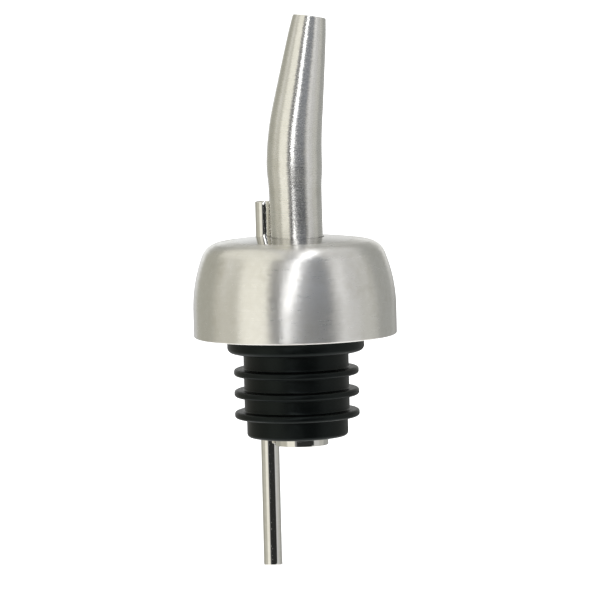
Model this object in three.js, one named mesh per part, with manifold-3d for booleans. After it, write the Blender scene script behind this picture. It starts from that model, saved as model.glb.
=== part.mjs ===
/**
 * Liquor pour spout: a bent, tapered steel spout and a thin breather tube, held by a domed steel
 * collar that sits on a finned rubber stopper. The stopper plugs a bottle's neck.
 *
 * Millimetres, +Z up. The origin is where the stopper's centre line crosses the bottle's lip,
 * and the spout bends mostly towards +X.
 */
import * as THREE from 'three';
import { mergeVertices } from 'three/addons/utils/BufferGeometryUtils.js';
import Module from 'manifold-3d';

const wasm = await Module();
wasm.setup();

// ---------------------------------------------------------------- driving dimensions

// Tubes
const tubeWall = 0.5;
const flowRadius = 4.6;            // outside of the tube that the liquor runs through
const flowBottom = -16.2;
const flowTop = 11.5;
const ventRadius = 3.175 / 2;      // a 1/8 inch tube
const ventWall = 0.3;
const ventBottom = -37.35;
const ventTop = 25.9;
const tubeSpacing = 6.3;           // between the two tubes' centre lines
const ventBearing = radians(151);  // from the flow tube towards the vent tube, from +X towards +Y
const flowShift = 0.75;            // the flow tube's distance from the stopper's centre line

// Spout, by height along its own centre line
const plugBottom = 6;              // the narrowed foot that plugs into the flow tube
const plugRadius = 4.0;
const plugTop = 11.8;
const bendStart = 31.2;
const bendLength = 10;
const spoutTip = 58.0;
const footLean = radians(-0.9);    // a slight set-back between the dome and the bend
const tipLean = radians(10.5);
const bendBearing = radians(35);   // the way the tip leans, from +X towards +Y
const spoutOutline = [             // outer radius at each height
  [4.5, 12.3], [4.5, 19.8], [4.57, 28.0], [4.75, 31.0], [4.78, 33.6],
  [4.49, 40.3], [3.95, 47.2], [3.31, 54.5], [2.88, spoutTip],
];
const lipRound = 0.1;

// Dome
const domeRadius = 17.55;
const domeRim = 2.85;
const domeRimRound = 0.25;
const domeTop = 20.1;
const domeWall = 0.8;
const sideStart = 7.5;             // the side is straight below this height and rounded above it
const sideRadius = 25.8;
const shoulderRadius = 3.4;
const crownRadius = 90;
const baseUnderside = 2.95;
const baseTop = 3.95;
const solderLeg = 0.9;

// Stopper
const stopperTop = 2.85;
const stopperBottom = -14.7;
const neckRadius = 9.1;            // between the fins
const endRadius = 8.9;             // below the lowest fin
const bottomRadius = 8.75;         // at its lower end
const bottomRound = 0.65;
const flangeRadius = 11.85;
const flangeRound = 0.6;           // at its lower edge; its upper edge is nearly sharp
const flangeTopRound = 0.3;
const finRadius = 10.8;
const finThickness = 1.2;
const finRound = 0.45;
const finHeights = [-3.4, -7.05, -10.75];

// Fits and fineness
const jointGap = 0.1;              // radial gap between a tube and what it passes through
const seatGap = 0.1;               // between faces that touch
const drillMargin = 1;             // how far a cut runs on beyond what it cuts
const roundSteps = 48;
const spoutSteps = 14;
const sideSteps = 6;
const shoulderSteps = 5;
const crownSteps = 3;
const edgeSteps = 2;

// ---------------------------------------------------------------- small geometry helpers

function radians(degrees) {
  return degrees * Math.PI / 180;
}

function point(x, y) {
  return new THREE.Vector2(x, y);
}

/** Points on an arc about `centre`, from one angle to another, ends included. */
function arc(centre, radius, from, to, steps) {
  const points = [];
  for (let i = 0; i <= steps; i += 1) {
    const angle = from + (to - from) * i / steps;
    points.push(point(centre.x + radius * Math.cos(angle), centre.y + radius * Math.sin(angle)));
  }
  return points;
}

/** Turns a radius-height outline about the Z axis. */
function turned(outline, steps = roundSteps) {
  return new THREE.LatheGeometry(outline, steps).rotateX(Math.PI / 2);
}

/** A closed ring outline: down the inside, then up the outside. */
function ringOutline(inside, outside) {
  const outline = [...inside, ...outside];
  return [...outline, outline[0].clone()];
}

function straightTube(radius, wall, bottom, top, steps) {
  const inside = [point(radius - wall, top), point(radius - wall, bottom)];
  const outside = [point(radius, bottom), point(radius, top)];
  return turned(ringOutline(inside, outside), steps);
}

function rod(radius, bottom, top, steps = roundSteps) {
  return turned([point(0, bottom), point(radius, bottom), point(radius, top), point(0, top)], steps);
}

function toSolid(geometry) {
  const bare = geometry.clone();
  bare.deleteAttribute('normal');
  bare.deleteAttribute('uv');
  const merged = mergeVertices(bare);
  return new wasm.Manifold(new wasm.Mesh({
    numProp: 3,
    vertProperties: merged.attributes.position.array,
    triVerts: merged.index.array,
  }));
}

function toGeometry(solid) {
  const { vertProperties, triVerts } = solid.getMesh();
  const geometry = new THREE.BufferGeometry();
  geometry.setAttribute('position', new THREE.BufferAttribute(vertProperties, 3));
  geometry.setIndex(new THREE.BufferAttribute(triVerts, 1));
  geometry.computeVertexNormals();
  return geometry;
}

function addPart(parent, name, geometry, material, position = new THREE.Vector3()) {
  const mesh = new THREE.Mesh(geometry, material);
  mesh.name = name;
  mesh.position.copy(position);
  parent.add(mesh);
  return mesh;
}

// ---------------------------------------------------------------- where the tubes stand

const ventDirection = new THREE.Vector3(Math.cos(ventBearing), Math.sin(ventBearing), 0);
const flowAxis = ventDirection.clone().multiplyScalar(-flowShift);
const ventAxis = flowAxis.clone().addScaledVector(ventDirection, tubeSpacing);

/** Cuts the two tubes' holes through a piece that lies between the heights `bottom` and `top`. */
function drillForTubes(geometry, bottom, top) {
  const hole = (radius, axis) => {
    const cut = rod(radius + jointGap, bottom - drillMargin, top + drillMargin);
    return toSolid(cut.translate(axis.x, axis.y, 0));
  };
  const flowHole = hole(flowRadius, flowAxis);
  const ventHole = hole(ventRadius, ventAxis);
  return toGeometry(toSolid(geometry).subtract(flowHole).subtract(ventHole));
}

// ---------------------------------------------------------------- spout

/** The spout's lean from upright at a height along its centre line. */
function spoutLean(height) {
  if (height < domeTop) {
    return 0;
  }
  const turn = THREE.MathUtils.clamp((height - bendStart) / bendLength, 0, 1);
  return footLean + (tipLean - footLean) * turn;
}

/** A point on the spout's centre line: its sideways reach, its height, and its lean there. */
function spoutCentre(height) {
  const step = 0.25;
  const place = { reach: 0, z: plugBottom, lean: spoutLean(height) };
  for (let at = plugBottom; at < height; at += step) {
    const length = Math.min(step, height - at);
    const lean = spoutLean(at + length / 2);
    place.reach += length * Math.sin(lean);
    place.z += length * Math.cos(lean);
  }
  return place;
}

/** Moves a straight turned tube onto the spout's centre line. */
function bent(geometry) {
  const positions = geometry.attributes.position;
  const side = new THREE.Vector3(Math.cos(bendBearing), Math.sin(bendBearing), 0);
  for (let i = 0; i < positions.count; i += 1) {
    const vertex = new THREE.Vector3().fromBufferAttribute(positions, i);
    const centre = spoutCentre(vertex.z);
    const along = vertex.x * side.x + vertex.y * side.y;
    const tilt = along * (Math.cos(centre.lean) - 1) + centre.reach;
    positions.setXYZ(
      i,
      vertex.x + side.x * tilt,
      vertex.y + side.y * tilt,
      centre.z - along * Math.sin(centre.lean),
    );
  }
  return geometry;
}

function pourSpout() {
  const skin = new THREE.SplineCurve(spoutOutline.map(([radius, height]) => point(radius, height)));
  const outer = skin.getPoints(spoutSteps);
  outer.at(-1).x -= lipRound;
  const inner = outer.map((p) => point(p.x - tubeWall, p.y)).reverse();
  inner[0].x += lipRound;
  const plugInside = [point(plugRadius - tubeWall, plugTop), point(plugRadius - tubeWall, plugBottom)];
  const plugOutside = [point(plugRadius, plugBottom), point(plugRadius, plugTop)];
  return bent(turned(ringOutline([...inner, ...plugInside], [...plugOutside, ...outer])));
}

// ---------------------------------------------------------------- dome

/** Where two circles cross, on the side away from the centre line. */
function outerCrossing(first, firstRadius, second, secondRadius) {
  const across = second.clone().sub(first);
  const distance = across.length();
  const along = (distance ** 2 + firstRadius ** 2 - secondRadius ** 2) / (2 * distance);
  const aside = Math.sqrt(firstRadius ** 2 - along ** 2);
  across.normalize();
  const foot = first.clone().addScaledVector(across, along);
  return foot.add(point(-across.y, across.x).multiplyScalar(aside * Math.sign(-across.y)));
}

/** The dome's side, shoulder and crown, from its rim up to the centre line, moved in by `inset`. */
function domeOutline(inset, rim) {
  const crownCentre = point(0, domeTop - crownRadius);
  const sideCentre = point(domeRadius - sideRadius, sideStart);
  const shoulderCentre = outerCrossing(
    crownCentre, crownRadius - shoulderRadius, sideCentre, sideRadius - shoulderRadius,
  );
  const sideEnd = shoulderCentre.clone().sub(sideCentre).angle();
  const crownEnd = shoulderCentre.clone().sub(crownCentre).angle();
  return [
    point(domeRadius - inset, rim),
    ...arc(sideCentre, sideRadius - inset, 0, sideEnd, sideSteps),
    ...arc(shoulderCentre, shoulderRadius - inset, sideEnd, crownEnd, shoulderSteps).slice(1),
    ...arc(crownCentre, crownRadius - inset, crownEnd, Math.PI / 2, crownSteps).slice(1),
  ];
}

function domeShell() {
  const outside = domeOutline(0, domeRim + domeRimRound);
  const inside = domeOutline(domeWall, domeRim).reverse();
  const rimEdge = point(domeRadius - domeRimRound, domeRim);
  return drillForTubes(turned([...inside, rimEdge, ...outside]), sideStart, domeTop);
}

function domeBase() {
  const radius = domeRadius - domeWall - jointGap;
  return drillForTubes(rod(radius, baseUnderside, baseTop), baseUnderside, baseTop);
}

/** The height of the crown's underside, at a distance from the centre line. */
function crownUnderside(distance) {
  return domeTop - crownRadius + Math.sqrt((crownRadius - domeWall) ** 2 - distance ** 2);
}

/** A fillet round both tubes where they pass through a face at `height`, above it or below it. */
function solderFillet(height, direction) {
  const collar = (radius, axis) => {
    const outline = [
      point(0, height),
      point(radius + solderLeg, height),
      point(radius, height + direction * solderLeg),
      point(0, height + direction * solderLeg),
    ];
    const upward = direction > 0 ? outline : outline.reverse();
    return toSolid(turned(upward).translate(axis.x, axis.y, 0));
  };
  const joined = collar(flowRadius, flowAxis).add(collar(ventRadius, ventAxis));
  return drillForTubes(toGeometry(joined), height - solderLeg, height + solderLeg);
}

// ---------------------------------------------------------------- stopper

/** The edge of a flat ring that stands out of the stopper's neck, from its lower to its upper face. */
function ringEdge(radius, bottom, top, lowerRound, upperRound) {
  const lowerCentre = point(radius - lowerRound, bottom + lowerRound);
  const upperCentre = point(radius - upperRound, top - upperRound);
  const lower = arc(lowerCentre, lowerRound, -Math.PI / 2, 0, edgeSteps);
  const upper = arc(upperCentre, upperRound, 0, Math.PI / 2, edgeSteps);
  return [...lower, ...upper];
}

function stopper() {
  const fins = [...finHeights].reverse().flatMap((height, i) => {
    const bottom = height - finThickness / 2;
    const top = height + finThickness / 2;
    const below = i === 0 ? endRadius : neckRadius;
    return [
      point(below, bottom),
      ...ringEdge(finRadius, bottom, top, finRound, finRound),
      point(neckRadius, top),
    ];
  });
  const bottomCentre = point(bottomRadius - bottomRound, stopperBottom + bottomRound);
  const outline = [
    point(0, stopperBottom),
    ...arc(bottomCentre, bottomRound, -Math.PI / 2, 0, edgeSteps + 1),
    ...fins,
    point(neckRadius, 0),
    ...ringEdge(flangeRadius, 0, stopperTop, flangeRound, flangeTopRound),
    point(0, stopperTop),
  ];
  return drillForTubes(turned(outline), stopperBottom, stopperTop);
}

// ---------------------------------------------------------------- materials

const brushedSteel = new THREE.MeshStandardMaterial({ color: 0xb9b9b2, roughness: 0.32, metalness: 1 });
const polishedSteel = new THREE.MeshStandardMaterial({ color: 0xc6c6c0, roughness: 0.12, metalness: 1 });
const solder = new THREE.MeshStandardMaterial({ color: 0xa7a69c, roughness: 0.5, metalness: 1 });
const blackRubber = new THREE.MeshStandardMaterial({ color: 0x141416, roughness: 0.45, metalness: 0 });

// ---------------------------------------------------------------- assembly

const group = new THREE.Group();

addPart(group, 'stopper', stopper(), blackRubber);

const metalwork = new THREE.Group();
group.add(metalwork);
const flowTube = straightTube(flowRadius, tubeWall, flowBottom, flowTop, roundSteps);
const ventTube = straightTube(ventRadius, ventWall, ventBottom, ventTop, roundSteps / 2);
addPart(metalwork, 'flow_tube', flowTube, polishedSteel, flowAxis);
addPart(metalwork, 'pour_spout', pourSpout(), brushedSteel, flowAxis);
addPart(metalwork, 'vent_tube', ventTube, polishedSteel, ventAxis);
addPart(metalwork, 'dome_shell', domeShell(), brushedSteel);
addPart(metalwork, 'dome_base', domeBase(), brushedSteel);
const solderReach = ventAxis.length() + ventRadius + solderLeg;
const crownSeat = crownUnderside(solderReach) - seatGap;
addPart(metalwork, 'dome_solder', solderFillet(crownSeat, -1), solder);
addPart(metalwork, 'base_solder', solderFillet(baseTop + seatGap, 1), solder);

export default group;
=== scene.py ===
"""A liquor pour spout in a plain white studio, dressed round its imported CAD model.

Metres, +Z up, in the CAD's own frame. Outlines are (radius, height) pairs about an upright axis.
"""
import math

import bmesh
import bpy
from mathutils import Matrix, Vector
from mathutils.geometry import delaunay_2d_cdt


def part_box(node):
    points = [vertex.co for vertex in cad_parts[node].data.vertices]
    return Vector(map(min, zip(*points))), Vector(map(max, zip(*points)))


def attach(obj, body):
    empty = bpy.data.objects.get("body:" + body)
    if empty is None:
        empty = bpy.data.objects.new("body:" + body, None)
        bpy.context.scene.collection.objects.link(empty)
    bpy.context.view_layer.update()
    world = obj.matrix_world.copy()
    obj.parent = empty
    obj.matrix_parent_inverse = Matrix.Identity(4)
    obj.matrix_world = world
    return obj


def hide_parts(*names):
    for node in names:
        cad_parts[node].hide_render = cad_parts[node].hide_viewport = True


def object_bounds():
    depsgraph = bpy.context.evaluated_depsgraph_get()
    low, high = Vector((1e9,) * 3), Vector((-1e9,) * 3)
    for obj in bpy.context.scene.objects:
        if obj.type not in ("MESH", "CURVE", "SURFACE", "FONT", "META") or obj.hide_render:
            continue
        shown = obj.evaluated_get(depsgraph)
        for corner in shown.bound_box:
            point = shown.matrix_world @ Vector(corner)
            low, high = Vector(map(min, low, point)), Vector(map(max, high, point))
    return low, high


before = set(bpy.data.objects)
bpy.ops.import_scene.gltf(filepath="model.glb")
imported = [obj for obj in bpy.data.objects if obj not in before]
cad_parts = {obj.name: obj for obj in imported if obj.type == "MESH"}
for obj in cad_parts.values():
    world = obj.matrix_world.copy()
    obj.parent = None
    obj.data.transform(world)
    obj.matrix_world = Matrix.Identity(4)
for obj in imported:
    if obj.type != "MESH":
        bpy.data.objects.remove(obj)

cad_low, cad_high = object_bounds()

MM = 0.001

# ---------------------------------------------------------------- places, from the frame


def middle(node):
    """The middle of a CAD node's box, seen from above."""
    low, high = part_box(node)
    return Vector(((low.x + high.x) / 2, (low.y + high.y) / 2, 0))


def radius_of(node):
    low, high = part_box(node)
    return (high.x - low.x) / 2


def bottom_of(node):
    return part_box(node)[0].z


def top_of(node):
    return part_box(node)[1].z


CENTRE = Vector((0, 0, 0))
FLOW_AXIS = middle("flow_tube")
VENT_AXIS = middle("vent_tube")
FLOW_RADIUS = radius_of("flow_tube")
VENT_RADIUS = radius_of("vent_tube")
DOME_RADIUS = radius_of("dome_shell")
DOME_RIM = bottom_of("dome_shell")
DOME_TOP = top_of("dome_shell")
STOPPER_TOP = top_of("stopper")
STOPPER_BOTTOM = bottom_of("stopper")

# ---------------------------------------------------------------- sizes that the boxes don't give

TUBE_WALL = 0.5 * MM
VENT_WALL = 0.3 * MM
JOINT_GAP = 0.1 * MM               # round a tube, where it passes through a piece
TUBE_EDGE = 0.12 * MM              # rounding of a cut tube's edges

DOME_WALL = 0.8 * MM
DOME_SIDE_START = 7.5 * MM         # straight below this height and rounded above it
DOME_SIDE_RADIUS = 25.8 * MM
DOME_SHOULDER_RADIUS = 3.4 * MM
DOME_CROWN_RADIUS = 90 * MM
DOME_RIM_ROUND = 0.25 * MM
CROWN_DROP = 0.68 * MM             # from the dome's top down to where the crown's polish and its painted shade end

NECK_RADIUS = 9.1 * MM
END_RADIUS = 8.75 * MM             # at the stopper's lower end
BOTTOM_ROUND = 0.65 * MM
FLANGE_RADIUS = 11.85 * MM
FLANGE_ROUND = 0.9 * MM
FLANGE_TOP_ROUND = 1.3 * MM
FIN_RADIUS = 10.8 * MM
FIN_THICKNESS = 1.2 * MM
FIN_ROUND = 0.45 * MM
FIN_ROOT = 0.25 * MM               # fillet where a fin meets the neck
FIN_HEIGHTS = [-10.75 * MM, -7.05 * MM, -3.4 * MM]

SPOUT_PLUG = (4.0 * MM, 6 * MM, 11.8 * MM)   # radius, lower and upper end of the foot in the flow tube
SPOUT_OUTLINE = [(radius * MM, height * MM) for radius, height in (
    (4.5, 12.3), (4.5, 19.8), (4.57, 28.0), (4.75, 31.0), (4.78, 33.6),
    (4.49, 40.3), (3.95, 47.2), (3.31, 54.5), (2.88, 58.0),
)]
SPOUT_LIP_ROUND = 0.1 * MM
SPOUT_BEND_START = 31.2 * MM
SPOUT_BEND_LENGTH = 10 * MM
SPOUT_FOOT_LEAN = math.radians(-0.9)
SPOUT_TIP_LEAN = math.radians(10.5)
SPOUT_BEARING = math.radians(35)   # the way the tip leans, from +X towards +Y

LONGEST_STEP = 0.45 * MM           # along an outline
DISC_SPACING = 0.6 * MM            # between the points of a pierced disc
LEAN_STEP = 0.25 * MM              # along the spout's centre line, where its lean is added up
WELD_DISTANCE = 0.001 * MM
DOME_STEPS = 192                   # round the axis
TUBE_STEPS = 96
VENT_STEPS = 48
SPOUT_STEPS = 12                   # between two points of the spout's outline
SIDE_STEPS = 28
SHOULDER_STEPS = 16
BULGE_STEPS = 8                    # round the flange's and the stopper's lower edge
ROUND_STEPS = 6                    # round the fins, the rim and the flange's upper edge
LIP_STEPS = 5
EDGE_STEPS = 4                     # round a tube's cut edges and in the fins' fillets
HOLE_SAG = 0.003 * MM              # how far a hole's flats lie inside its circle, at most
CREASE = math.radians(32)          # edges sharper than this stay sharp

# ---------------------------------------------------------------- outlines


def arc(centre, radius, start, end, steps):
    """Points on an arc, from one angle in degrees to another, ends included."""
    angles = [math.radians(start + (end - start) * i / steps) for i in range(steps + 1)]
    return [(centre[0] + radius * math.cos(a), centre[1] + radius * math.sin(a)) for a in angles]


def smooth_through(points, steps):
    """A Catmull-Rom curve through the points, with that many steps between each pair."""
    curve = []
    for i in range(len(points) - 1):
        before = Vector(points[max(i - 1, 0)])
        start = Vector(points[i])
        end = Vector(points[i + 1])
        after = Vector(points[min(i + 2, len(points) - 1)])
        for step in range(steps):
            t = step / steps
            pull_in = (end - before) / 2
            pull_out = (after - start) / 2
            place = (
                start * (2 * t ** 3 - 3 * t ** 2 + 1) + pull_in * (t ** 3 - 2 * t ** 2 + t)
                + end * (3 * t ** 2 - 2 * t ** 3) + pull_out * (t ** 3 - t ** 2)
            )
            curve.append(tuple(place))
    return curve + [tuple(points[-1])]


def even(points, longest=LONGEST_STEP):
    """The same outline with no step longer than `longest`, so that shading stays true on flats."""
    finer = [points[0]]
    for start, end in zip(points, points[1:]):
        parts = max(1, math.ceil(math.dist(start, end) / longest))
        for i in range(1, parts + 1):
            finer.append(tuple(a + (b - a) * i / parts for a, b in zip(start, end)))
    return finer


def tube_outline(radius, wall, bottom, top, edge=TUBE_EDGE):
    """A tube with rounded edges at both cut ends: up the outside and down the inside."""
    inside = radius - wall
    return [
        *arc((radius - edge, bottom + edge), edge, -90, 0, EDGE_STEPS),
        *arc((radius - edge, top - edge), edge, 0, 90, EDGE_STEPS),
        *arc((inside + edge, top - edge), edge, 90, 180, EDGE_STEPS),
        *arc((inside + edge, bottom + edge), edge, 180, 270, EDGE_STEPS),
    ]


# ---------------------------------------------------------------- mesh building


def upright(axis):
    """Places a turned outline's points round an upright axis."""
    def place(angle, radius, height):
        return axis + Vector((radius * math.cos(angle), radius * math.sin(angle), height))
    return place


def add_turned(mesh, outline, place, steps, closed):
    """Turns an outline into rows of quads, with U round the axis and V along the outline in metres."""
    uv = mesh.loops.layers.uv.verify()
    points = outline + outline[:1] if closed else outline
    lengths = [0]
    for start, end in zip(points, points[1:]):
        lengths.append(lengths[-1] + math.dist(start, end))
    rows = []
    for radius, height in outline:
        angles = [math.tau * i / steps for i in range(steps)]
        rows.append([mesh.verts.new(place(a, radius, height)) for a in angles])
    if closed:
        rows.append(rows[0])
    for row in range(len(rows) - 1):
        for column in range(steps):
            beyond = (column + 1) % steps
            face = mesh.faces.new([
                rows[row][column], rows[row][beyond], rows[row + 1][beyond], rows[row + 1][column],
            ])
            corners = [(column, row), (column + 1, row), (column + 1, row + 1), (column, row + 1)]
            for loop, (u, v) in zip(face.loops, corners):
                loop[uv].uv = (u / steps, lengths[v])


def tube_opening():
    """The outline of the opening that both tubes pass through, whose two round holes run together."""
    across = VENT_AXIS - FLOW_AXIS
    spacing = across.length
    flow_hole = FLOW_RADIUS + JOINT_GAP
    vent_hole = VENT_RADIUS + JOINT_GAP
    crossing = (spacing ** 2 + flow_hole ** 2 - vent_hole ** 2) / (2 * spacing)
    flow_half = math.degrees(math.acos(crossing / flow_hole))
    vent_half = math.degrees(math.acos((spacing - crossing) / vent_hole))
    bearing = math.degrees(math.atan2(across.y, across.x))
    flow_side = arc(FLOW_AXIS, flow_hole, bearing + flow_half, bearing + 360 - flow_half, TUBE_STEPS)
    vent_side = arc(
        VENT_AXIS, vent_hole, bearing + 180 + vent_half, bearing + 540 - vent_half, VENT_STEPS
    )
    return flow_side[:-1] + vent_side[:-1]


def inside_tube_hole(place, margin):
    """Whether a point is in either tube's hole, or within a margin of it."""
    return any(
        math.dist(place, axis.xy) < radius + JOINT_GAP + margin
        for axis, radius in ((FLOW_AXIS, FLOW_RADIUS), (VENT_AXIS, VENT_RADIUS))
    )


def add_pierced_disc(mesh, radius, height_at, steps=DOME_STEPS):
    """A disc about the centre line, open for the tubes, whose height is height_at(x, y)."""
    uv = mesh.loops.layers.uv.verify()
    opening = tube_opening()
    count = len(opening)
    points = arc(CENTRE, radius, 0, 360, steps)[:-1] + opening
    edges = [(i, (i + 1) % steps) for i in range(steps)]
    edges += [(steps + i, steps + (i + 1) % count) for i in range(count)]
    rings = int(radius / DISC_SPACING)
    for i in range(1, rings):
        inner = radius * i / rings
        around = max(6, round(math.tau * inner / DISC_SPACING))
        for place in arc(CENTRE, inner, 0, 360, around)[:-1]:
            if not inside_tube_hole(place, DISC_SPACING / 2):
                points.append(place)
    flat, _, triangles, *_ = delaunay_2d_cdt([Vector(p) for p in points], edges, [], 0, 1e-9)
    verts = [mesh.verts.new((p.x, p.y, height_at(p.x, p.y))) for p in flat]
    for triangle in triangles:
        centre = sum((flat[i] for i in triangle), Vector((0, 0))) / 3
        if not inside_tube_hole(centre, -HOLE_SAG):
            face = mesh.faces.new([verts[i] for i in triangle])
            for loop in face.loops:
                loop[uv].uv = loop.vert.co.xy
    used = {v for face in mesh.faces for v in face.verts}
    for vert in [v for v in mesh.verts if v not in used]:
        mesh.verts.remove(vert)


def add_bore(mesh, low_at, high_at):
    """The wall of the tubes' opening, between two surfaces."""
    uv = mesh.loops.layers.uv.verify()
    opening = tube_opening()
    count = len(opening)
    rings = [[mesh.verts.new((x, y, height_at(x, y))) for x, y in opening] for height_at in (low_at, high_at)]
    for i in range(count):
        beyond = (i + 1) % count
        face = mesh.faces.new([rings[0][i], rings[0][beyond], rings[1][beyond], rings[1][i]])
        for loop, u in zip(face.loops, (i, i + 1, i + 1, i)):
            loop[uv].uv = (u / count, loop.vert.co.z)


def level(height):
    """A flat surface, as a height over any point."""
    return lambda x, y: height


def make_piece(mesh, name, body, nodes, material):
    """Welds a piece's surfaces into one closed, smoothly shaded mesh that rides on its body."""
    bmesh.ops.remove_doubles(mesh, verts=mesh.verts, dist=WELD_DISTANCE)
    bmesh.ops.recalc_face_normals(mesh, faces=mesh.faces)
    data = bpy.data.meshes.new(name)
    mesh.to_mesh(data)
    mesh.free()
    data.shade_smooth()
    data.set_sharp_from_angle(angle=CREASE)
    data.materials.append(material)
    piece = bpy.data.objects.new(name, data)
    bpy.context.scene.collection.objects.link(piece)
    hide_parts(*nodes)
    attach(piece, body)
    return piece


# ---------------------------------------------------------------- node trees


class Tree:
    """Shorthand for filling a node tree."""

    def __init__(self, owner):
        owner.use_nodes = True
        self.tree = owner.node_tree
        self.tree.nodes.clear()

    def add(self, kind, inputs=None, **settings):
        made = self.tree.nodes.new("ShaderNode" + kind)
        for name, value in settings.items():
            setattr(made, name, value)
        for name, value in (inputs or {}).items():
            self.feed(made.inputs[name], value)
        return made

    def feed(self, socket, value):
        if isinstance(value, bpy.types.NodeSocket):
            self.tree.links.new(value, socket)
        else:
            socket.default_value = value

    def math(self, operation, *values):
        made = self.add("Math", operation=operation)
        for i, value in enumerate(values):
            self.feed(made.inputs[i], value)
        return made.outputs[0]

    def vector(self, operation, *values):
        made = self.add("VectorMath", operation=operation)
        for i, value in enumerate(values):
            self.feed(made.inputs[i], value)
        return made.outputs[0]

    def spread(self, value, low, high, to_low=0.0, to_high=1.0, smooth=False):
        """Maps value from low..high onto to_low..to_high, held at the ends."""
        interpolation = "SMOOTHSTEP" if smooth else "LINEAR"
        made = self.add("MapRange", {"Value": value}, interpolation_type=interpolation, clamp=True)
        for name, end in (("From Min", low), ("From Max", high), ("To Min", to_low), ("To Max", to_high)):
            self.feed(made.inputs[name], end)
        return made.outputs["Result"]

    def mix(self, factor, first, second):
        """Blends two colours."""
        made = self.add("Mix", data_type="RGBA")
        self.feed(made.inputs["Factor"], factor)
        self.feed(made.inputs[6], first)
        self.feed(made.inputs[7], second)
        return made.outputs[2]

    def grey(self, value):
        """The same value on all three axes or colour channels."""
        return self.add("CombineXYZ", dict.fromkeys("XYZ", value)).outputs[0]

    def noise(self, vector, scale=1.0, detail=3.0, roughness=0.5):
        values = {"Vector": vector, "Scale": scale, "Detail": detail, "Roughness": roughness}
        return self.add("TexNoise", values).outputs["Fac"]

    def stretched(self, vector, across, along):
        """The coordinates, scaled so that a pattern is drawn out round the axis."""
        made = self.add("Mapping", {"Vector": vector, "Scale": (across, across, along)})
        return made.outputs["Vector"]


# ---------------------------------------------------------------- materials

# Noise scales are features per metre.
STEEL_COLOUR = (0.80, 0.79, 0.76, 1)
STEEL_TARNISH = (0.66, 0.64, 0.58, 1)
STEEL_GROOVES = (0.72, 0.71, 0.68, 1)
# The polished crown's darker tone is painted shade. It stands in for the dark band round the tubes' feet.
STEEL_POLISH_AND_SHADE = (0.50, 0.495, 0.48, 1)
POLISH_ROUGHNESS = 0.4             # of the brushed steel's roughness
POLISH_BLEND = 0.15 * MM           # the height over which brushing gives way to polish and to the crown's painted shade
BRUSHING = 0.9                     # how far the grain draws reflections out
RUBBER_BLACK = (0.0007, 0.0009, 0.0009, 1)
RUBBER_RUBBED = (0.0019, 0.0023, 0.0022, 1)
RUBBER_GLINT = (0.84, 1.0, 0.96, 1)
SOLDER_DARK = (0.46, 0.455, 0.43, 1)
SOLDER_PALE = (0.66, 0.65, 0.62, 1)


def steel(name, gloss, grain, streak, jitter, ripple_depth, tangent="RADIAL", polished_and_shaded_above=None):
    """Turned steel. Its fine grain runs round the axis and so draws reflections out along the axis.

    gloss is the lowest and highest roughness, grain is the pitch of the rings in metres, streak is how
    strongly the rings are coloured, and jitter is how far single rings throw a reflection sideways,
    which leaves its edges ragged. Above the height given for the polish the grain is buffed away, and
    the colour turns to a darker tone there, which is painted shade.
    """
    material = bpy.data.materials.new(name)
    tree = Tree(material)
    place = tree.add("TexCoord").outputs["Object"]
    rings = tree.noise(tree.stretched(place, 60, 1 / grain), detail=4, roughness=0.65)
    scratches = tree.noise(tree.stretched(place, 420, 0.8 / grain), detail=3, roughness=0.7)
    ripple = tree.noise(tree.stretched(place, 90, 210), detail=1.5)
    patches = tree.noise(place, scale=210, detail=4, roughness=0.6)
    mottle = tree.noise(place, scale=850, detail=3, roughness=0.55)
    stained = tree.spread(patches, 0.52, 0.72, to_high=0.5, smooth=True)
    worn = tree.spread(rings, 0.35, 0.65, to_high=streak)
    clouded = tree.spread(mottle, 0.35, 0.65, to_high=0.22, smooth=True)
    base = tree.mix(clouded, tree.mix(stained, STEEL_COLOUR, STEEL_TARNISH), STEEL_TARNISH)
    coloured = tree.mix(worn, base, STEEL_GROOVES)
    roughness = tree.math(
        "ADD", tree.spread(rings, 0.3, 0.7, *gloss), tree.spread(mottle, 0.35, 0.65, to_high=0.03)
    )
    ripple_bump = tree.add("Bump", {"Height": ripple, "Strength": 1.0, "Distance": ripple_depth})
    brushed_unshaded = 1.0
    if polished_and_shaded_above is not None:
        height = tree.add("SeparateXYZ", {"Vector": place}).outputs["Z"]
        brushed_unshaded = tree.spread(height, polished_and_shaded_above, polished_and_shaded_above + POLISH_BLEND, 1.0, 0.0, smooth=True)
        roughness = tree.math("MULTIPLY", roughness, tree.spread(brushed_unshaded, 0, 1, POLISH_ROUGHNESS, 1.0))
        # Painted shade: above that height the colour turns to the darker tone.
        coloured = tree.mix(brushed_unshaded, STEEL_POLISH_AND_SHADE, coloured)
    if tangent == "RADIAL":
        direction = tree.add("Tangent", direction_type="RADIAL", axis="Z").outputs[0]
    else:
        direction = tree.add("Tangent", direction_type="UV_MAP").outputs[0]
    throw = tree.math("MULTIPLY", tree.spread(scratches, 0.35, 0.65, -jitter, jitter), brushed_unshaded)
    thrown = tree.vector("MULTIPLY_ADD", direction, tree.grey(throw), ripple_bump.outputs[0])
    shader = tree.add("BsdfPrincipled", {
        "Base Color": coloured, "Metallic": 1.0, "Roughness": roughness,
        "Anisotropic": tree.math("MULTIPLY", brushed_unshaded, BRUSHING), "Anisotropic Rotation": 0.25,
        "Tangent": direction, "Normal": tree.vector("NORMALIZE", thrown),
    })
    tree.add("OutputMaterial", {"Surface": shader.outputs[0]})
    return material


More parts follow.
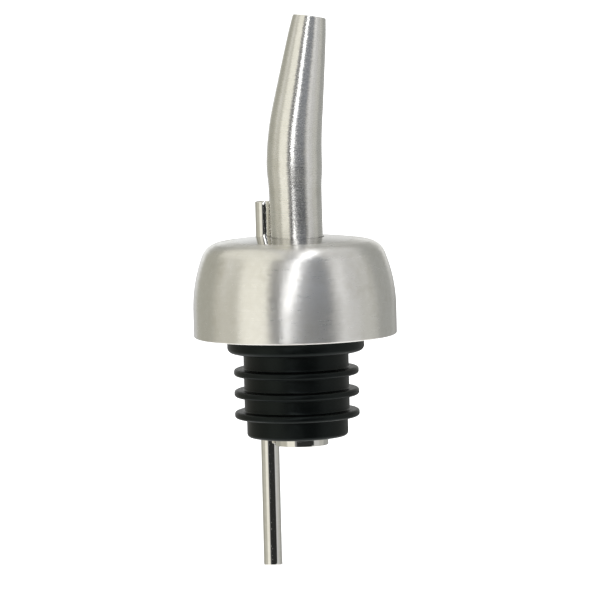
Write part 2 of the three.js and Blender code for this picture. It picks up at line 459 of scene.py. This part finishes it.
def rubber():
    """Moulded black rubber: a fine matt tooth, faint flow marks and slightly paler rubbed patches."""
    material = bpy.data.materials.new("black_rubber")
    tree = Tree(material)
    place = tree.add("TexCoord").outputs["Object"]
    tooth = tree.noise(place, scale=9000, detail=3, roughness=0.6)
    flow = tree.noise(tree.stretched(place, 140, 700), detail=3)
    patches = tree.noise(place, scale=260, detail=4, roughness=0.6)
    rubbed = tree.spread(patches, 0.45, 0.75, smooth=True)
    colour = tree.mix(rubbed, RUBBER_BLACK, RUBBER_RUBBED)
    roughness = tree.math("ADD", tree.spread(tooth, 0.3, 0.7, 0.3, 0.4), tree.math("MULTIPLY", rubbed, 0.06))
    tooth_bump = tree.add("Bump", {"Height": tooth, "Strength": 1.0, "Distance": 0.006 * MM})
    flow_bump = tree.add("Bump", {
        "Height": flow, "Strength": 1.0, "Distance": 0.03 * MM, "Normal": tooth_bump.outputs[0],
    })
    shader = tree.add("BsdfPrincipled", {
        "Base Color": colour, "Roughness": roughness, "Specular IOR Level": 0.19,
        "Specular Tint": RUBBER_GLINT, "Normal": flow_bump.outputs[0],
    })
    tree.add("OutputMaterial", {"Surface": shader.outputs[0]})
    return material


def solder():
    """Dull grey solder with a lumpy, frosted skin."""
    material = bpy.data.materials.new("solder")
    tree = Tree(material)
    place = tree.add("TexCoord").outputs["Object"]
    lumps = tree.noise(place, scale=900, detail=3)
    frost = tree.noise(place, scale=5200, detail=4, roughness=0.7)
    colour = tree.mix(frost, SOLDER_DARK, SOLDER_PALE)
    lump_bump = tree.add("Bump", {"Height": lumps, "Strength": 1.0, "Distance": 0.12 * MM})
    frost_bump = tree.add("Bump", {
        "Height": frost, "Strength": 1.0, "Distance": 0.01 * MM, "Normal": lump_bump.outputs[0],
    })
    shader = tree.add("BsdfPrincipled", {
        "Base Color": colour, "Metallic": 1.0, "Roughness": tree.spread(frost, 0.3, 0.7, 0.34, 0.55),
        "Normal": frost_bump.outputs[0],
    })
    tree.add("OutputMaterial", {"Surface": shader.outputs[0]})
    return material


dome_steel = steel(
    "satin_steel", gloss=(0.26, 0.31), grain=0.16 * MM, streak=0.3, jitter=0.021,
    ripple_depth=0.008 * MM, polished_and_shaded_above=DOME_TOP - CROWN_DROP,
)
spout_steel = steel(
    "brushed_steel", gloss=(0.23, 0.28), grain=0.14 * MM, streak=0.08, jitter=0.028,
    ripple_depth=0.008 * MM, tangent="UV_MAP",
)
tube_steel = steel(
    "drawn_steel", gloss=(0.03, 0.07), grain=0.12 * MM, streak=0.6, jitter=0.006,
    ripple_depth=0.003 * MM,
)
black_rubber = rubber()
grey_solder = solder()

# ---------------------------------------------------------------- pieces


def straight_tube(name, node, axis, wall):
    """A cut length of tube, standing where its CAD node stands."""
    mesh = bmesh.new()
    outline = tube_outline(radius_of(node), wall, bottom_of(node), top_of(node))
    add_turned(mesh, even(outline + outline[:1])[:-1], upright(axis), TUBE_STEPS, closed=True)
    return make_piece(mesh, name, "metalwork", [node], tube_steel)


def spout_lean(height):
    """The spout's lean from upright, at a height along its own centre line."""
    if height < DOME_TOP:
        return 0
    turn = min(max((height - SPOUT_BEND_START) / SPOUT_BEND_LENGTH, 0), 1)
    return SPOUT_FOOT_LEAN + (SPOUT_TIP_LEAN - SPOUT_FOOT_LEAN) * turn


def spout_centre(height):
    """How far sideways and how high the spout's centre line is, at a height along it."""
    foot = SPOUT_PLUG[1]
    steps = max(1, round((height - foot) / LEAN_STEP))
    length = (height - foot) / steps
    reach = 0
    z = foot
    for i in range(steps):
        lean = spout_lean(foot + length * (i + 0.5))
        reach += length * math.sin(lean)
        z += length * math.cos(lean)
    return reach, z


def along_spout(angle, radius, height):
    """Places a turned outline's points round the spout's bent centre line."""
    side = Vector((math.cos(SPOUT_BEARING), math.sin(SPOUT_BEARING), 0))
    spread = Vector((radius * math.cos(angle), radius * math.sin(angle), 0))
    lean = spout_lean(height)
    reach, z = spout_centre(height)
    along = spread.dot(side)
    flat = spread + side * (along * (math.cos(lean) - 1) + reach)
    return FLOW_AXIS + flat + Vector((0, 0, z - along * math.sin(lean)))


def pour_spout():
    """The bent, tapered spout, with its narrowed foot in the flow tube."""
    plug_radius, plug_bottom, plug_top = SPOUT_PLUG
    skin = smooth_through(SPOUT_OUTLINE, SPOUT_STEPS)
    lining = [(radius - TUBE_WALL, height) for radius, height in reversed(skin)]
    tip_radius, tip = skin[-1]
    edge = SPOUT_LIP_ROUND
    lip = [
        *arc((tip_radius - edge, tip - edge), edge, 0, 90, LIP_STEPS),
        *arc((tip_radius - TUBE_WALL + edge, tip - edge), edge, 90, 180, LIP_STEPS),
    ]
    below_lip = [p for p in skin if p[1] < tip - edge]
    lining_below_lip = [p for p in lining if p[1] < tip - edge]
    foot = [
        (plug_radius - TUBE_WALL, plug_top), (plug_radius - TUBE_WALL, plug_bottom),
        (plug_radius, plug_bottom), (plug_radius, plug_top),
    ]
    outline = even([*below_lip, *lip, *lining_below_lip, *foot, below_lip[0]])[:-1]
    mesh = bmesh.new()
    add_turned(mesh, outline, along_spout, TUBE_STEPS, closed=True)
    return make_piece(mesh, "spout", "metalwork", ["pour_spout"], spout_steel)


def angle_between(centre, place):
    return math.degrees(math.atan2(place.y - centre.y, place.x - centre.x))


def dome_side(inset, low):
    """The dome's side and shoulder, up to where the crown begins, moved in by `inset`."""
    crown = Vector((0, DOME_TOP - DOME_CROWN_RADIUS))
    side = Vector((DOME_RADIUS - DOME_SIDE_RADIUS, DOME_SIDE_START))
    to_crown = DOME_CROWN_RADIUS - DOME_SHOULDER_RADIUS
    to_side = DOME_SIDE_RADIUS - DOME_SHOULDER_RADIUS
    apart = side - crown
    along = (apart.length ** 2 + to_crown ** 2 - to_side ** 2) / (2 * apart.length)
    aside = math.sqrt(to_crown ** 2 - along ** 2)
    across = apart.normalized()
    shoulder = crown + across * along + Vector((across.y, -across.x)) * aside
    side_end = angle_between(side, shoulder)
    crown_end = angle_between(crown, shoulder)
    return [
        (DOME_RADIUS - inset, low),
        *arc(side, DOME_SIDE_RADIUS - inset, 0, side_end, SIDE_STEPS),
        *arc(shoulder, DOME_SHOULDER_RADIUS - inset, side_end, crown_end, SHOULDER_STEPS)[1:],
    ]


def crown_height(inset):
    """The crown's height over a point, for its upper face or, with an inset, its underside."""
    radius = DOME_CROWN_RADIUS - inset
    floor = DOME_TOP - DOME_CROWN_RADIUS
    return lambda x, y: floor + math.sqrt(radius ** 2 - x ** 2 - y ** 2)


def dome_shell():
    """The domed collar, a thin shell with a rounded rim and a nearly flat crown."""
    outside = dome_side(0, DOME_RIM + DOME_RIM_ROUND)
    inside = dome_side(DOME_WALL, DOME_RIM + DOME_RIM_ROUND)
    outer_centre = (DOME_RADIUS - DOME_RIM_ROUND, DOME_RIM + DOME_RIM_ROUND)
    inner_centre = (DOME_RADIUS - DOME_WALL + DOME_RIM_ROUND, DOME_RIM + DOME_RIM_ROUND)
    outer_edge = arc(outer_centre, DOME_RIM_ROUND, -90, 0, ROUND_STEPS)
    inner_edge = arc(inner_centre, DOME_RIM_ROUND, 180, 270, ROUND_STEPS)
    outline = even([*reversed(inside), *inner_edge[1:], *outer_edge, *outside[1:]])
    mesh = bmesh.new()
    add_turned(mesh, outline, upright(CENTRE), DOME_STEPS, closed=False)
    add_pierced_disc(mesh, outside[-1][0], crown_height(0))
    add_pierced_disc(mesh, inside[-1][0], crown_height(DOME_WALL))
    add_bore(mesh, crown_height(DOME_WALL), crown_height(0))
    return make_piece(mesh, "dome", "metalwork", ["dome_shell"], dome_steel)


def dome_base():
    """The disc that closes the dome's underside."""
    low, high = bottom_of("dome_base"), top_of("dome_base")
    radius = radius_of("dome_base")
    edge = TUBE_EDGE
    outline = even([
        *arc((radius - edge, low + edge), edge, -90, 0, EDGE_STEPS),
        *arc((radius - edge, high - edge), edge, 0, 90, EDGE_STEPS),
    ])
    mesh = bmesh.new()
    add_turned(mesh, outline, upright(CENTRE), DOME_STEPS, closed=False)
    add_pierced_disc(mesh, radius - edge, level(low))
    add_pierced_disc(mesh, radius - edge, level(high))
    add_bore(mesh, level(low), level(high))
    return make_piece(mesh, "base_disc", "metalwork", ["dome_base"], dome_steel)


def fin_outline(height, below):
    """One sealing fin, from the neck below it to the neck above, with fillets at its root."""
    low, high = height - FIN_THICKNESS / 2, height + FIN_THICKNESS / 2
    return [
        *arc((below + FIN_ROOT, low - FIN_ROOT), FIN_ROOT, 180, 90, EDGE_STEPS),
        *arc((FIN_RADIUS - FIN_ROUND, low + FIN_ROUND), FIN_ROUND, -90, 0, ROUND_STEPS),
        *arc((FIN_RADIUS - FIN_ROUND, high - FIN_ROUND), FIN_ROUND, 0, 90, ROUND_STEPS),
        *arc((NECK_RADIUS + FIN_ROOT, high + FIN_ROOT), FIN_ROOT, 270, 180, EDGE_STEPS),
    ]


def stopper():
    """The rubber stopper: a flange on top, a straight neck and three sealing fins."""
    bottom = (END_RADIUS - BOTTOM_ROUND, STOPPER_BOTTOM + BOTTOM_ROUND)
    flange = (FLANGE_RADIUS - FLANGE_ROUND, FLANGE_ROUND)
    flange_top = (FLANGE_RADIUS - FLANGE_TOP_ROUND, STOPPER_TOP - FLANGE_TOP_ROUND)
    below = [END_RADIUS] + [NECK_RADIUS] * (len(FIN_HEIGHTS) - 1)
    fins = [point for height, radius in zip(FIN_HEIGHTS, below) for point in fin_outline(height, radius)]
    outline = even([
        *arc(bottom, BOTTOM_ROUND, -90, 0, BULGE_STEPS),
        *fins,
        *arc((NECK_RADIUS + FIN_ROOT, -FIN_ROOT), FIN_ROOT, 180, 90, EDGE_STEPS),
        *arc(flange, FLANGE_ROUND, -90, 0, BULGE_STEPS),
        *arc(flange_top, FLANGE_TOP_ROUND, 0, 90, ROUND_STEPS),
    ])
    mesh = bmesh.new()
    add_turned(mesh, outline, upright(CENTRE), DOME_STEPS, closed=False)
    add_pierced_disc(mesh, END_RADIUS - BOTTOM_ROUND, level(STOPPER_BOTTOM))
    add_pierced_disc(mesh, FLANGE_RADIUS - FLANGE_TOP_ROUND, level(STOPPER_TOP))
    add_bore(mesh, level(STOPPER_BOTTOM), level(STOPPER_TOP))
    return make_piece(mesh, "rubber_stopper", "stopper", ["stopper"], black_rubber)


straight_tube("flow_pipe", "flow_tube", FLOW_AXIS, TUBE_WALL)
straight_tube("vent_pipe", "vent_tube", VENT_AXIS, VENT_WALL)
pour_spout()
dome_shell()
dome_base()
stopper()
for node in ("dome_solder", "base_solder"):
    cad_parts[node].data.materials.clear()
    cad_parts[node].data.materials.append(grey_solder)

# ---------------------------------------------------------------- floor

FLOOR_HEIGHT = cad_low.z
FLOOR_RADIUS = 8.0
PAPER_TONES = [(0.93, 0.93, 0.93, 1), (0.95, 0.95, 0.95, 1)]


def floor():
    """A wide pale sweep. It is single-sided, so that the underside can be looked at, and kept out of
    reflections, where the studio's walls and lamps show instead."""
    material = bpy.data.materials.new("floor_paper")
    tree = Tree(material)
    place = tree.add("TexCoord").outputs["Object"]
    tone = tree.mix(tree.noise(place, scale=40), *PAPER_TONES)
    paper = tree.add("BsdfDiffuse", {"Color": tone})
    clear = tree.add("BsdfTransparent")
    behind = tree.add("NewGeometry").outputs["Backfacing"]
    surface = tree.add("MixShader", {"Fac": behind, 1: paper.outputs[0], 2: clear.outputs[0]})
    tree.add("OutputMaterial", {"Surface": surface.outputs[0]})
    mesh = bmesh.new()
    bmesh.ops.create_circle(mesh, cap_ends=True, segments=96, radius=FLOOR_RADIUS)
    data = bpy.data.meshes.new("floor")
    mesh.to_mesh(data)
    mesh.free()
    data.materials.append(material)
    made = bpy.data.objects.new("floor", data)
    made.location.z = FLOOR_HEIGHT
    made.visible_glossy = False
    bpy.context.scene.collection.objects.link(made)


floor()

# ---------------------------------------------------------------- studio

AMBIENT = (1.7, 1.7, 1.7, 1)       # what matt surfaces see all round
BACKDROP = (1.1, 1.1, 1.1, 1)

# What the metal mirrors, in degrees. Each wall or light box has its left and right side, its lower and
# upper edge, how soft its edges are, and a colour, and a later one stands in front of an earlier one.
# Walls go by azimuth, from the front (-Y) towards +X, and elevation. One that ends at the back runs on
# past 180. The canopy and the long light box go by the angle towards +X and the angle up and over,
# which is 0 in front, 90 overhead and 180 at the back.
CEILING = (0.44, 0.44, 0.42, 1)
WALLS = [
    (-152, -104, -110, 62, 16, (0.45, 0.445, 0.39)),
    (-106, -68, -110, 62, 12, (0.59, 0.575, 0.50)),
    (-110, -66, 26, 70, 14, (0.74, 0.73, 0.67)),
    (-68, -30, -110, 62, 10, (1.03, 1.01, 0.91)),
    (-30, -4, -110, 56, 5, (0.24, 0.24, 0.245)),
    (-4, 43, -110, 22, 6, (0.345, 0.36, 0.395)),
    (-4, 45, 16, 66, 8, (0.235, 0.25, 0.28)),
    (46, 82, -110, 60, 8, (0.64, 0.64, 0.64)),
    (49, 64, 4, 32, 8, (1.03, 1.03, 1.04)),
    (82, 110, -110, 60, 12, (0.57, 0.57, 0.54)),
    (110, 152, -110, 60, 16, (0.40, 0.405, 0.39)),
    (152, 200, -110, 14, 14, (0.86, 0.86, 0.84)),
    (152, 200, -110, -1, 6, (0.30, 0.30, 0.29)),
    (-200, -152, -110, 14, 14, (0.98, 0.99, 0.98)),
    (-200, -152, -110, -1, 6, (0.55, 0.55, 0.55)),
    (-22, 45, -110, 0, 6, (0.03, 0.031, 0.03)),
    (40, 54, -14, 0, 6, (0.03, 0.031, 0.03)),
    (-200, 200, -110, -34, 12, (1.45, 1.45, 1.44)),
]
CANOPY = [
    (-90, -48, 66, 116, 10, (0.76, 0.75, 0.70)),
    (-52, -8, 46, 136, 10, (0.92, 0.905, 0.82)),
    (-8, 34, 80, 134, 10, (0.76, 0.76, 0.755)),
    (34, 90, 74, 118, 10, (0.67, 0.67, 0.66)),
]
# The long light box is brightest at its lower end. Its middle lies towards +X by the least of these
# lines, each an offset and a slope per degree up and over.
STRIP_LINES = [(-14.0, 0.66), (-6.6, 0.28), (12.0, 0.0)]
STRIP_START = 0.0
STRIP_END = 106.0
STRIP_END_SOFTNESS = 3.0
STRIP_HALF_WIDTH = 3.4
STRIP_SOFTNESS = 3.6
STRIP_FADE = (6, 28)               # from the brighter lower end to the rest
STRIP_LOW_COLOUR = (7.2, 7.25, 7.4, 1)
STRIP_COLOUR = (3.5, 3.52, 3.6, 1)


def between(tree, value, low, high, softness):
    """1 where value lies between low and high, falling to 0 over the softness at either end."""
    half = softness / 2
    rising = tree.spread(value, low - half, low + half, smooth=True)
    falling = tree.spread(value, high + half, high - half, smooth=True)
    return tree.math("MULTIPLY", rising, falling)


def add_boxes(tree, seen, boxes, across, up):
    """Stands light boxes in front of what is seen so far."""
    for left, right, low, high, softness, colour in boxes:
        sides = between(tree, across, left, right, softness)
        heights = between(tree, up, low, high, softness)
        seen = tree.mix(tree.math("MULTIPLY", sides, heights), seen, (*colour, 1))
    return seen


def add_light_strip(tree, seen, aside, over):
    """Stands the long light box in front of what is seen so far."""
    middle_line = 90.0
    for offset, slope in STRIP_LINES:
        line = tree.math("MULTIPLY_ADD", over, slope, offset)
        middle_line = tree.math("MINIMUM", middle_line, line)
    away = tree.math("SUBTRACT", aside, middle_line)
    across = between(tree, away, -STRIP_HALF_WIDTH, STRIP_HALF_WIDTH, STRIP_SOFTNESS)
    along = between(tree, over, STRIP_START, STRIP_END, STRIP_END_SOFTNESS)
    colour = tree.mix(tree.spread(over, *STRIP_FADE), STRIP_LOW_COLOUR, STRIP_COLOUR)
    return tree.mix(tree.math("MULTIPLY", across, along), seen, colour)


def studio():
    """Soft walls and light boxes all round, as a world that the metal mirrors; matt surfaces and the
    backdrop see plain white."""
    world = bpy.data.worlds.new("studio")
    bpy.context.scene.world = world
    world.cycles.sampling_method = "NONE"
    tree = Tree(world)
    split = tree.add("SeparateXYZ", {"Vector": tree.add("TexCoord").outputs["Generated"]})
    sideways, upwards = split.outputs["X"], split.outputs["Z"]
    frontways = tree.math("MULTIPLY", split.outputs["Y"], -1.0)
    azimuth = tree.math("DEGREES", tree.math("ARCTAN2", sideways, frontways))
    elevation = tree.math("DEGREES", tree.math("ARCSINE", upwards))
    over = tree.math("DEGREES", tree.math("ARCTAN2", upwards, frontways))
    aside = tree.math("DEGREES", tree.math("ARCSINE", sideways))
    seen = add_boxes(tree, CEILING, WALLS, azimuth, elevation)
    seen = add_boxes(tree, seen, CANOPY, aside, over)
    seen = add_light_strip(tree, seen, aside, over)
    path = tree.add("LightPath")
    matt = tree.mix(path.outputs["Is Diffuse Ray"], seen, AMBIENT)
    shown = tree.mix(path.outputs["Is Camera Ray"], matt, BACKDROP)
    background = tree.add("Background", {"Color": shown})
    tree.add("OutputWorld", {"Surface": background.outputs[0]})


studio()

# ---------------------------------------------------------------- camera

CAMERA_DISTANCE = 1.0
CAMERA_SENSOR = 36                 # millimetres, as the lens is
CAMERA_LENS = 347.6
CAMERA_SEES = (0.05, 50)           # nearest and farthest
CAMERA_ELEVATION = math.radians(5.5)
CAMERA_ROLL = math.radians(1.4)
CAMERA_AIM = Vector((0.93 * MM, 0, 8.86 * MM))


def camera():
    data = bpy.data.cameras.new("camera")
    data.sensor_width = CAMERA_SENSOR
    data.lens = CAMERA_LENS
    data.clip_start, data.clip_end = CAMERA_SEES
    made = bpy.data.objects.new("camera", data)
    bpy.context.scene.collection.objects.link(made)
    forward = Vector((0, math.cos(CAMERA_ELEVATION), -math.sin(CAMERA_ELEVATION)))
    level_up = Vector((1, 0, 0)).cross(forward)
    right = Vector((1, 0, 0)) * math.cos(CAMERA_ROLL) - level_up * math.sin(CAMERA_ROLL)
    up = right.cross(forward)
    turn = Matrix((right, up, -forward)).transposed()
    made.matrix_world = Matrix.Translation(CAMERA_AIM - forward * CAMERA_DISTANCE) @ turn.to_4x4()
    bpy.context.scene.camera = made


camera()
bpy.context.scene.view_settings.view_transform = "Standard"
